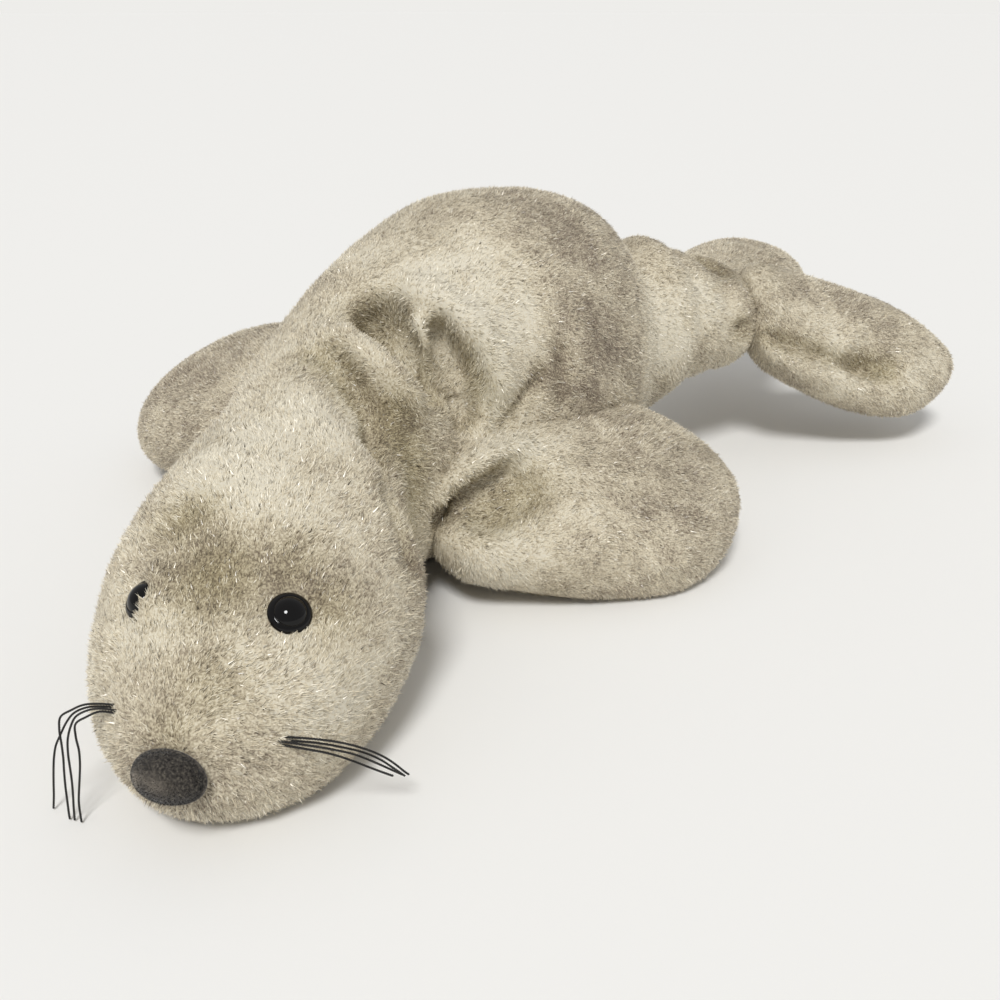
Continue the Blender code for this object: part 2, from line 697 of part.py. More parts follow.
def make_whiskers(parts, thread):
    heading = math.radians(MUZZLE_TURN)
    left = Vector((math.cos(heading), math.sin(heading), 0))
    forward = Vector((math.sin(heading), -math.cos(heading), 0))
    for name, (side, share, degrees) in WHISKER_TUFTS.items():
        middle = along(HEAD, share)
        for number, route in enumerate(WHISKER_ROUTES[name], 1):
            row, column = divmod(number - 1, 2)
            s = middle + (row - 0.5) * WHISKER_SPACING
            lower = (column - 0.5) * WHISKER_SPACING / section_at(s)[0]
            turn = math.radians(degrees) - side * lower
            normal = skin_normal(s, turn)
            root = Vector(plain_skin(s, turn)) + normal * (SEAM_GAP + THREAD_DIAMETER / 2)
            points = [root]
            for out, ahead, down in route[1:]:
                step = left * side * out + forward * ahead - Vector((0, 0, down))
                point = root + step * 0.001
                point.z = max(point.z, 0.75 * THREAD_DIAMETER)
                points.append(point)
            places = smooth_route(points, 2.5 * THREAD_DIAMETER)
            curve = bpy.data.curves.new(f"whisker_{name}_{number}", "CURVE")
            curve.dimensions = "3D"
            curve.bevel_depth = THREAD_DIAMETER / 2
            curve.bevel_resolution = 2
            curve.use_fill_caps = True
            spline = curve.splines.new("POLY")
            spline.points.add(len(places) - 1)
            for point, place in zip(spline.points, places):
                point.co = (*place, 1)
            add(curve.name, curve, parts, thread)


def put_on_floor(parts, cutters):
    """Moves everything by one parent, so the middle of the base is at the origin."""
    bpy.context.view_layer.update()
    graph = bpy.context.evaluated_depsgraph_get()
    corners = []
    for ob in parts.objects:
        if not ob.name.startswith("whisker"):
            shown = ob.evaluated_get(graph)
            corners += [shown.matrix_world @ Vector(corner) for corner in shown.bound_box]
    lows = [min(corner[k] for corner in corners) for k in range(3)]
    highs = [max(corner[k] for corner in corners) for k in range(3)]
    placement = bpy.data.objects.new("placement", None)
    parts.objects.link(placement)
    for ob in [*parts.objects, *cutters.objects]:
        if ob is not placement:
            ob.parent = placement
    placement.location = (-(lows[0] + highs[0]) / 2, -(lows[1] + highs[1]) / 2, -lows[2])


def clear_scene():
    for ob in list(bpy.data.objects):
        bpy.data.objects.remove(ob, do_unlink=True)


def main():
    clear_scene()
    parts = bpy.data.collections.new("plush_seal")
    cutters = bpy.data.collections.new("cutters")
    bpy.context.scene.collection.children.link(parts)
    bpy.context.scene.collection.children.link(cutters)
    plush = material("silver pile plush", (0.55, 0.50, 0.42), 0.8)
    moulded = material("black moulded acrylic", (0.01, 0.01, 0.01), 0.08)
    flock = material("flocked black plastic", (0.03, 0.03, 0.03), 0.9)
    washer_plastic = material("white washer plastic", (0.8, 0.8, 0.78), 0.4)
    thread = material("waxed black thread", (0.015, 0.015, 0.015), 0.5)
    body = make_body(parts, plush)
    seat = make_seat(body, cutters)
    pouches = {}
    for name, size, place, height, bearing, drop, roll in POUCHES:
        pouches[name] = make_pouch(name, size, place, height, bearing, drop, roll, parts, plush)
    cut(pouches["hind_flipper_left"], make_seat(pouches["hind_flipper_right"], cutters))
    for pouch in pouches.values():
        cut(pouch, seat)
    make_face(body, (parts, cutters), (moulded, flock, washer_plastic))
    make_whiskers(parts, thread)
    put_on_floor(parts, cutters)


main()
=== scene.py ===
import math
from itertools import product

import bpy
import numpy as np
from mathutils import Matrix, Vector


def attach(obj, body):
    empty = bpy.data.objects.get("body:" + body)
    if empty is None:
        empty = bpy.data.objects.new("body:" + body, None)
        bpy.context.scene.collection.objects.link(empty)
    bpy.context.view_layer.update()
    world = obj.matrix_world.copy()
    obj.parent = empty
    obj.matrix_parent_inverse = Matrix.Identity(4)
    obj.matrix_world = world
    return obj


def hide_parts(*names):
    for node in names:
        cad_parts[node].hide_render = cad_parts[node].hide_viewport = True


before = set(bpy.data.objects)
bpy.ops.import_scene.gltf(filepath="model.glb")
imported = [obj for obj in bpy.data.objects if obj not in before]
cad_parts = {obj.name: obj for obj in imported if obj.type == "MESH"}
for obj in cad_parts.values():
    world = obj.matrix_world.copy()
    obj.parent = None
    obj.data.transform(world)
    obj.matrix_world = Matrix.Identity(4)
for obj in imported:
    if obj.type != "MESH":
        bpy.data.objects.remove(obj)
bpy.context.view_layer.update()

scene = bpy.context.scene
mm = 0.001


def toLinear(hexColour):
    values = [int(hexColour[i : i + 2], 16) / 255 for i in (1, 3, 5)]
    return (*[v / 12.92 if v <= 0.04045 else ((v + 0.055) / 1.055) ** 2.4 for v in values], 1)


def addNode(tree, kind, settings=(), links=()):
    # settings: property or input socket -> value; links: input socket -> another node's output
    node = tree.nodes.new(kind)
    for key, value in dict(settings).items():
        if isinstance(key, int) or key in node.inputs:
            node.inputs[key].default_value = value
        else:
            setattr(node, key, value)
    for key, output in dict(links).items():
        tree.links.new(output, node.inputs[key])
    return node


def newMaterial(name):
    made = bpy.data.materials.new(name)
    made.use_nodes = True
    made.node_tree.nodes.clear()
    output = made.node_tree.nodes.new("ShaderNodeOutputMaterial")
    return made, made.node_tree, output


def colourRamp(tree, stops, source):
    ramp = addNode(tree, "ShaderNodeValToRGB", {}, {"Fac": source})
    elements = ramp.color_ramp.elements
    while len(elements) < len(stops):
        elements.new(0.5)
    for element, (place, hexColour) in zip(elements, stops):
        element.position = place
        element.color = toLinear(hexColour)
    return ramp.outputs["Color"]


def newPiece(name, mesh, made):
    piece = bpy.data.objects.new(name, mesh)
    scene.collection.objects.link(piece)
    mesh.materials.clear()
    mesh.materials.append(made)
    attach(piece, "root")
    return piece


def quickMesh(name, points, faces):
    # points: n x 3, faces: m x 3 or m x 4
    mesh = bpy.data.meshes.new(name)
    sides = faces.shape[1]
    mesh.vertices.add(len(points))
    mesh.vertices.foreach_set("co", points.astype(np.float32).ravel())
    mesh.loops.add(faces.size)
    mesh.loops.foreach_set("vertex_index", faces.astype(np.int32).ravel())
    mesh.polygons.add(len(faces))
    mesh.polygons.foreach_set("loop_start", np.arange(0, faces.size, sides, dtype=np.int32))
    mesh.update(calc_edges=True)
    mesh.shade_smooth()
    return mesh


def softNoise(points, cell, seed):
    # smooth noise from -1 to 1, its hills about one cell across
    lattice = np.random.default_rng(seed).random((32, 32, 32))
    place = points / cell
    corner = np.floor(place).astype(int)
    part = place - corner
    part = part * part * (3 - 2 * part)
    total = np.zeros(len(points))
    for step in product((0, 1), repeat=3):
        near = np.where(np.array(step) == 1, part, 1 - part).prod(axis=1)
        i, j, k = ((corner + step) % 32).T
        total += near * lattice[i, j, k]
    return total * 2 - 1


def unit(vectors):
    return vectors / np.maximum(np.linalg.norm(vectors, axis=-1, keepdims=True), 1e-9)


def alongLine(points, line):
    # nearest place on a polyline: distance away, share of its length, direction there
    line = np.array(line, float)
    steps = np.diff(line, axis=0)
    lengths = np.linalg.norm(steps, axis=1)
    reached = np.concatenate([[0], np.cumsum(lengths)])
    best = np.full(len(points), np.inf)
    share = np.zeros(len(points))
    ahead = np.zeros((len(points), 3))
    for start, step, length, before in zip(line, steps, lengths, reached):
        t = np.clip(((points - start) @ step) / length**2, 0, 1)
        away = np.linalg.norm(points - start - t[:, None] * step, axis=1)
        nearer = away < best
        best = np.where(nearer, away, best)
        share = np.where(nearer, (before + t * length) / reached[-1], share)
        ahead[nearer] = step / length
    return best, share, ahead


def fadeOut(away, spread):
    # 1 on a line or a place, falling softly with the distance; spread in mm
    return np.exp(-0.5 * (away / (spread * mm)) ** 2)


def storeValues(mesh, key, values):
    layer = mesh.attributes.new(key, "FLOAT", "POINT")
    layer.data.foreach_set("value", values.astype(np.float32))


# its place in metres, its lens in mm, and how far it looks down and turns in degrees
cameraView = {"place": (0.3262, -0.3533, 0.200), "down": 23.7, "turn": 40.9, "lens": 40.46}

cameraData = bpy.data.cameras.new("camera")
cameraData.sensor_width = 36
cameraData.lens = cameraView["lens"]
camera = bpy.data.objects.new("camera", cameraData)
scene.collection.objects.link(camera)
camera.location = cameraView["place"]
camera.rotation_euler = (math.radians(90 - cameraView["down"]), 0, math.radians(cameraView["turn"]))
scene.camera = camera
scene.view_settings.view_transform = "Standard"
print("camera set")


def makePileMaterial(name, rootShade, grain, roughness):
    # polyester pile on a knitted backing, brushed and heat-set: silky fibres lie in patches. Its
    # tone mixes random mottle with painted light: cream is a painted highlight where the fibres
    # would catch the light, taupe is painted shade where they turn away, and tan is painted shade
    # in the hollows and on the face
    made, tree, output = newMaterial(name)
    toneAndPaintedLight = addNode(tree, "ShaderNodeAttribute", {"attribute_name": "toneAndPaintedLight"})
    paintedTanShade = addNode(tree, "ShaderNodeAttribute", {"attribute_name": "paintedTanShade"})
    depth = addNode(tree, "ShaderNodeAttribute", {"attribute_name": "depth"})
    place = addNode(tree, "ShaderNodeTexCoord")
    # specks 0.7 mm across, coarser than the 0.03 mm fibre ends, which are too fine to show
    ends = addNode(
        tree,
        "ShaderNodeTexNoise",
        {"Scale": 1500.0, "Detail": 2.0},
        {"Vector": place.outputs["Object"]},
    )
    flecks = addNode(
        tree,
        "ShaderNodeMapRange",
        {"From Min": 0.3, "From Max": 0.7, "To Min": -grain, "To Max": grain},
        {"Value": ends.outputs["Fac"]},
    )
    lit = addNode(
        tree,
        "ShaderNodeMath",
        {"operation": "ADD"},
        {0: toneAndPaintedLight.outputs["Fac"], 1: flecks.outputs["Result"]},
    )
    # taupe to cream: the toy's silvery colour, its dark end used for painted shade and its pale end
    # for painted highlight
    silver = colourRamp(
        tree,
        (
            (0.0, "#8A7B69"),
            (0.28, "#B9AB95"),
            (0.5, "#DDD0B5"),
            (0.75, "#F8ECD0"),
            (1.0, "#FFF7E2"),
        ),
        lit.outputs[0],
    )
    # tan colours, painted as shade in the hollows and on the face
    paintedTanColours = colourRamp(
        tree,
        ((0.0, "#75684C"), (0.3, "#A4956F"), (0.6, "#CBBD96"), (1.0, "#F6EDD2")),
        lit.outputs[0],
    )
    both = addNode(
        tree,
        "ShaderNodeMix",
        {"data_type": "RGBA"},
        {"Factor": paintedTanShade.outputs["Fac"], 6: silver, 7: paintedTanColours},
    )
    # painted shade at the roots: the colour is darkened from rootShade at the root to none at the
    # tip, standing in for the shade the fibres cast on each other
    shade = addNode(
        tree,
        "ShaderNodeMapRange",
        {"From Min": 0.0, "From Max": 1.0, "To Min": rootShade, "To Max": 1.0},
        {"Value": depth.outputs["Fac"]},
    )
    dark = addNode(
        tree,
        "ShaderNodeMix",
        {"data_type": "RGBA", "blend_type": "MULTIPLY", "Factor": 1.0},
        {6: both.outputs[2], 7: shade.outputs["Result"]},
    )
    shader = addNode(
        tree,
        "ShaderNodeBsdfPrincipled",
        {
            "Roughness": roughness,
            "IOR": 1.57,
            "Sheen Weight": 0.22,
            "Sheen Tint": toLinear("#FFF3DC"),
            "Sheen Roughness": 0.35,
        },
        {"Base Color": dark.outputs[2]},
    )
    tree.links.new(shader.outputs[0], output.inputs["Surface"])
    return made


# rootShade paints the blade roots darker, as shade between the fibres
plushPile = makePileMaterial("polyester pile, brushed", 0.62, 0.05, 0.26)
# the backing cloth's depth is 0 everywhere, so all of it takes the root's painted shade, as the
# shade under the pile
plushCloth = makePileMaterial("polyester plush backing, knitted", 0.62, 0.35, 0.85)
print("materials made")


skinCut = {
    "voxel": 2.2 * mm,
    "smoothing": 3,
    "thickness": 0.9 * mm,
    "thinning": 0.5,  # how far from a moulding the cloth reaches its thickness, by its half width
    "mouldingDepth": 9,  # mm, how far through the cover a moulding's oval counts
}

bodyLine = [  # mm, the spine at the height of the widest line, from the nose to the tail
    (114.4, -237.2, 21.7), (100.0, -209.9, 22.9), (84.0, -183.6, 31.2), (67.2, -157.7, 35.5),
    (50.4, -131.8, 39.1), (33.8, -105.8, 45.2), (22.4, -77.3, 49.3), (17.4, -46.9, 52.0),
    (16.2, -16.1, 54.8), (18.0, 14.7, 56.2), (22.9, 45.1, 59.0), (33.8, 73.9, 60.2),
    (46.3, 102.1, 61.0), (58.9, 130.3, 62.0),
]
skins = {
    "body": {"line": bodyLine, "fill": 0.75},
    "fore_flipper_left": {"line": [(52.5, -88.7, 36.0), (121.3, 25.7, 24.0)], "fill": 0.7},
    "fore_flipper_right": {"line": [(-11.8, -65.7, 48.0), (-143.3, -47.2, 30.0)], "fill": 0.7},
    "hind_flipper_left": {"line": [(67.3, 117.8, 70.0), (140.8, 211.9, 36.0)], "fill": 0.65},
    "hind_flipper_right": {"line": [(44.0, 128.2, 65.0), (12.4, 246.0, 63.0)], "fill": 0.65},
}
# mouldings set in the cover: centre, facing direction, and the half width and height left clear
mouldings = {
    "eye_left": ((114.6, -193.7, 53.5), (0.6002, -0.2248, 0.7676), 5.9, 5.9),
    "eye_right": ((78.8, -214.5, 53.5), (-0.0748, -0.6572, 0.7500), 5.3, 5.3),
    "nose": ((114.6, -234.3, 24.7), (0.4169, -0.8548, 0.3090), 9.3, 6.0),
}
# folds of the slack cover, in mm: height (a hollow is below 0) and half width, then how much
# painted tan shade the pile has in it and how much paler it is painted, as painted highlight on
# ridges and painted shade (below 0) in hollows, and the half width of both, then its line
folds = {
    "headEdge": (
        4.6, 3.2, 0, 0.45, 4,
        [(37.8, -116.2, 90.6), (46.5, -117.8, 83.3), (57.0, -120.8, 78.0), (64.3, -122.5, 73.8),
         (69.4, -122.1, 70.8)],
    ),
    "headCrease": (
        -4.7, 2.4, 0.5, -0.27, 4,
        [(68.7, -121.3, 71.5), (77.5, -124.7, 65.3), (90, -134, 66), (101.7, -143.8, 68.9),
         (106.4, -145.1, 62.9), (110.6, -147.0, 58.1), (114.4, -148.6, 52.1)],
    ),
    "firstHollow": (
        -8.0, 4.2, 0.9, -0.22, 6,
        [(38.4, -114.0, 91.3), (46.2, -113.2, 86.3), (53.6, -114.8, 82.0), (63.2, -115.9, 76.0),
         (72.3, -120.9, 69.1)],
    ),
    "neckSide": (
        -1.6, 8, 0.85, -0.22, 9,
        [(66, -108, 74), (72, -106, 62), (76, -110, 50), (84, -118, 44)],
    ),
    "middleFold": (
        4.6, 3.0, 0, 0.5, 4,
        [(48.9, -105.6, 93.6), (57.2, -104.0, 89.6), (63.4, -101.9, 84.0), (66, -97, 78)],
    ),
    "deepHollow": (
        -11.0, 6.5, 1.0, -0.27, 9,
        [(31, -80, 93), (40, -84, 89), (48, -86, 84), (55, -84, 78)],
    ),
    "curledFold": (
        3.0, 2.2, 0, 0.45, 3.5,
        [(47.3, -76.5, 96.1), (51.6, -70.7, 83.1), (54.8, -69.5, 76.7), (61.3, -73.4, 71.1)],
    ),
    "armpitCrease": (
        -10.5, 3.0, 0.8, -0.42, 5,
        [(50.1, -68.8, 92.8), (53.8, -68.3, 81.9), (56.9, -68.6, 75.8), (60.5, -69.9, 70.0),
         (61.7, -68.7, 63.1)],
    ),
    "armpitSlope": (-5.0, 5.5, 0.9, -0.22, 7, [(61.1, -65.0, 81.4), (65.5, -64.6, 72.0)]),
    "trunkEdge": (
        4.2, 4.2, 0, 0.45, 6,
        [(37.7, -68.0, 105.7), (52.0, -64.3, 100.7), (60.3, -60.7, 93.7), (66.3, -59.4, 84.5),
         (70.0, -58.8, 73.9)],
    ),
    "flankCrease": (
        -2.8, 1.8, 0.4, -0.37, 3,
        [(72.5, -37.6, 73.9), (71.2, -48.2, 66.9), (70.1, -55.4, 59.1)],
    ),
    "flankCrease2": (-1.9, 1.8, 0.2, -0.27, 3, [(74.2, -27.9, 81.4), (76.3, -31.3, 63.7)]),
    "flipperFold": (
        5.4, 2.6, 0.35, 0.35, 4,
        [(72.5, -93.8, 41.7), (77.0, -89.2, 46.5), (78.9, -78.7, 50.6), (80.2, -67.2, 52.1),
         (83.4, -59.2, 52.8)],
    ),
    "flipperCrease": (
        -6.2, 2.0, 0.8, -0.47, 4,
        [(72.3, -94.9, 35.1), (74.6, -90.0, 39.2), (78.4, -87.7, 42.9), (80.8, -77.7, 46.2),
         (83.2, -69.0, 48.8)],
    ),
    "flipperHollow": (
        -8.5, 7, 1.0, -0.27, 8,
        [(86.0, -84.0, 39.0), (88.4, -81.5, 38.0), (90.1, -70.0, 42.0)],
    ),
    "hindSeam": (
        -6.5, 2.3, 0.7, -0.32, 4,
        [(79.9, 100.8, 64.3), (92.2, 114.0, 59.1), (101.8, 125.2, 53.2), (111.4, 138.3, 46.8),
         (119.6, 151.6, 41.0)],
    ),
    "hindDimple": (-3.4, 4.5, 0.9, -0.27, 5, [(117.3, 150.5, 42.7), (126.8, 159.0, 40.7)]),
    "hindFold": (
        2.2, 2.4, 0, 0.35, 4,
        [(113.2, 154.7, 58.8), (111.8, 145.9, 54.5), (110.1, 139.2, 49.8)],
    ),
    "farHollow": (-5.5, 5, 0.8, -0.42, 6, [(52.8, 109.1, 92.0), (62.4, 108.8, 89.6)]),
    "hindRim": (
        3.2, 3.2, 0, 0.45, 4,
        [(86, 106, 56), (96, 117, 49), (106, 131, 42), (116, 146, 35), (126, 160, 31),
         (135, 173, 29)],
    ),
    "bridge": (
        5.2, 2.2, 0, 0, 3,
        [(84.7, -215.9, 52.8), (84.2, -213.2, 55.2), (81.8, -210.3, 57.6), (79.0, -209.0, 58.2)],
    ),
}
# patches of painted light and shade on the pile, in mm: place, radius, how much paler it is painted
# (below 0, painted shade), how much painted tan shade it has
paintedLightPatches = [
    (68, -160, 81, 18, 0.48, 0), (115, -153, 54, 12, -0.16, 0), (75, -195, 69, 8, -0.32, 0.80),
    (95, -202, 60, 11, -0.36, 0.85), (107, -187, 61, 8, -0.22, 0.55),
    (119, -185, 53, 7, -0.15, 0.60), (114, -220, 43, 8, -0.10, 0.50),
    (112, -230, 35, 6, -0.10, 0.50), (130, -194, 36, 12, 0.32, 0), (118, -207, 47, 9, 0.20, 0),
    (91, -221, 49, 9, 0.25, 0), (85, -182, 74, 11, 0.35, 0), (108, -173, 65, 10, 0.20, 0),
    (17, -65, 113, 14, 0.15, 0), (52, -53, 105, 14, 0.40, 0), (67, -43, 91, 14, 0.35, 0),
    (73, -1, 95, 24, -0.24, 0), (81, -12, 67, 18, -0.18, 0), (50, 2, 121, 20, -0.1, 0),
    (75, -64, 56, 9, 0.35, 0), (88, -45, 53, 14, 0.20, 0), (129, -25, 34, 20, -0.18, 0),
    (92, -94, 20, 12, 0.35, 0), (68, 50, 73, 15, 0.5, 0), (68, 82, 79, 8, 0.20, 0),
    (74, 94, 74, 6, 0.30, 0), (89, 137, 77, 12, -0.08, 0), (107, 137, 57, 10, 0.25, 0),
    (131, 164, 40, 10, 0.20, 0), (-92, -78, 50, 36, -0.34, 0), (120, 170, 60, 20, -0.15, 0),
]


def besideMoulding(points, name):
    # below 1 inside a moulding's oval, above 1 outside it
    centre, facing, halfWidth, halfHeight = mouldings[name]
    facing = np.array(facing)
    level = unit(np.cross([0, 0, 1.0], facing))
    up = np.cross(facing, level)
    away = points - np.array(centre) * mm
    flat = np.hypot(away @ level / (halfWidth * mm), away @ up / (halfHeight * mm))
    return flat + np.maximum(np.abs(away @ facing) / mm - skinCut["mouldingDepth"], 0)


def remeshed(node):
    piece = node.copy()
    piece.data = node.data.copy()
    scene.collection.objects.link(piece)
    even = piece.modifiers.new("even", "REMESH")
    even.mode = "VOXEL"
    even.voxel_size = skinCut["voxel"]
    graph = bpy.context.evaluated_depsgraph_get()
    mesh = bpy.data.meshes.new_from_object(piece.evaluated_get(graph))
    bpy.data.objects.remove(piece)
    return mesh


def meshPoints(mesh):
    points = np.empty(len(mesh.vertices) * 3)
    mesh.vertices.foreach_get("co", points)
    return points.reshape(-1, 3)


def smoothPoints(mesh, rounds):
    # each round moves a point half way to the middle of its neighbours
    points = meshPoints(mesh)
    edges = np.empty(len(mesh.edges) * 2, dtype=int)
    mesh.edges.foreach_get("vertices", edges)
    a, b = edges.reshape(-1, 2).T
    count = np.bincount(np.concatenate([a, b]), minlength=len(points))[:, None]
    for _ in range(rounds):
        total = np.zeros_like(points)
        for k in range(3):
            fromStart = np.bincount(b, points[a, k], len(points))
            total[:, k] = np.bincount(a, points[b, k], len(points)) + fromStart
        points += 0.5 * (total / np.maximum(count, 1) - points)
    return points


def makeSkin(nodeName):
    mesh = remeshed(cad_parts[nodeName])
    points = smoothPoints(mesh, skinCut["smoothing"])
    mesh.vertices.foreach_set("co", points.ravel())
    mesh.update()
    normals = np.empty(len(points) * 3)
    mesh.vertices.foreach_get("normal", normals)
    moved = np.zeros(len(points))
    for height, spread, _, _, _, line in folds.values():
        away, _, _ = alongLine(points, np.array(line) * mm)
        moved += height * mm * fadeOut(away, spread)
    thick = np.ones(len(points))
    for name in mouldings:
        clear = (besideMoulding(points, name) - 1) / skinCut["thinning"]
        thick = np.minimum(thick, np.clip(clear, 0, 1))
    moved += skinCut["thickness"] * thick
    points = points + moved[:, None] * normals.reshape(-1, 3)
    mesh.vertices.foreach_set("co", points.ravel())
    points = smoothPoints(mesh, 1)
    points[:, 2] = np.maximum(points[:, 2], 0)
    mesh.vertices.foreach_set("co", points.ravel())
    mesh.update()
    mesh.shade_smooth()
    piece = newPiece(nodeName + "_cover", mesh, plushCloth)
    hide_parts(nodeName)
    return piece


covers = {name: makeSkin(name) for name, facts in skins.items()}
print("covers made", {name: len(cover.data.polygons) for name, cover in covers.items()})


pile = {
    "perArea": 3.8e6,  # blades for each square metre
    "quickShare": 0.3,
    "clump": 3,  # blades that share one root tuft
    "tuft": 0.5 * mm,  # how far a tuft's roots spread
    "tuftFill": 0.6,
    "follow": 0.45,  # how far a blade's tip follows its root away from the tuft's middle
    "length": 2.1 * mm,
    "lengthSpread": 0.14,
    "bladeLengths": (0.65, 1.1),
    # a real fibre is 0.03 mm, too fine for the render, so a blade stands for a few
    "halfWidth": 0.165 * mm,
    "bladeWidths": (0.7, 1.3),
    "lean": 20,  # degrees above the cloth
    "leanSpread": 9,
    "turnSpread": 0.35,  # radians
    "scatter": 0.3 * mm,  # of the tips
    "sink": 0.25 * mm,
    "bareBelow": 0.8 * mm,  # the cloth that lies on the floor has no pile
    "floorGap": 0.2 * mm,
    "tuftTone": 0.18,
    "bladeTone": 0.22,
    "clothTone": 0.9,
    "tuftGlint": 0.22,  # the fibres of one tuft turn the same way, so a tuft glints as one
    "bladeGlint": 0.42,
    "clothNormal": 0.45,  # a blade is shaded partly as the cloth, which keeps the pile soft
    "bladeNormal": 0.55,
    "bands": 60,
    "columns": 4 * mm,
}
# the way the fibres lie and how pale they are; each noise is its strength, hills in mm and seed
nap = {
    "droop": 0.25,
    "parting": 0.4,  # how far the fibres turn away from a moulding
    "partingFade": 2,
    "swirl": ((0.8, 24, 1), (0.5, 9, 2)),
    "lean": ((0.5, 12, 5),),
    "toneAndPaintedLight": 0.65,
    "mottle": ((0.24, 20, 3), (0.20, 6, 4), (0.12, 1.8, 6)),
}


def skinTriangles(mesh):
    mesh.calc_loop_triangles()
    corners = np.empty(len(mesh.loop_triangles) * 3, dtype=int)
    mesh.loop_triangles.foreach_get("vertices", corners)
    normals = np.empty(len(mesh.vertices) * 3)
    mesh.vertices.foreach_get("normal", normals)
    return meshPoints(mesh), normals.reshape(-1, 3), corners.reshape(-1, 3)


def summedNoise(points, layers, start=0):
    noises = (strength * softNoise(points, cell * mm, seed) for strength, cell, seed in layers)
    return sum(noises, start)


def napField(points, normals, line):
    # share of the line, the way the fibres lie, how pale they are with random mottle and painted
    # highlight and shade, and how much painted tan shade they have
    _, share, ahead = alongLine(points, np.array(line) * mm)
    flow = ahead + nap["droop"] * np.array([0, 0, -1.0])
    for name, (centre, _, _, _) in mouldings.items():
        away = points - np.array(centre) * mm
        beyond = np.maximum(besideMoulding(points, name) - 1, 0)
        near = np.exp(-beyond * nap["partingFade"])[:, None] * nap["parting"]
        flow = flow * (1 - near) + unit(away) * near
    flow = unit(flow - normals * np.sum(flow * normals, axis=1)[:, None])
    side = np.cross(normals, flow)
    swirl = summedNoise(points, nap["swirl"])
    flow = flow * np.cos(swirl)[:, None] + side * np.sin(swirl)[:, None]
    toneAndPaintedLight = summedNoise(points, nap["mottle"], nap["toneAndPaintedLight"])
    paintedTanShade = np.zeros(len(points))
    # the folds paint highlight along their ridges and shade and tan in their hollows
    for _, _, paintedTanAmount, paintedLightShade, spread, fold in folds.values():
        away, _, _ = alongLine(points, np.array(fold) * mm)
        weight = fadeOut(away, spread)
        toneAndPaintedLight += paintedLightShade * weight
        paintedTanShade = np.maximum(paintedTanShade, paintedTanAmount * weight)
    # painted highlight and shade in patches, and painted tan shade on the face
    for x, y, z, radius, paintedLightShade, paintedTanAmount in paintedLightPatches:
        away = np.linalg.norm(points - np.array((x, y, z)) * mm, axis=1)
        weight = fadeOut(away, radius)
        toneAndPaintedLight += paintedLightShade * weight
        paintedTanShade = np.maximum(paintedTanShade, paintedTanAmount * weight)
    return share, flow, toneAndPaintedLight, paintedTanShade


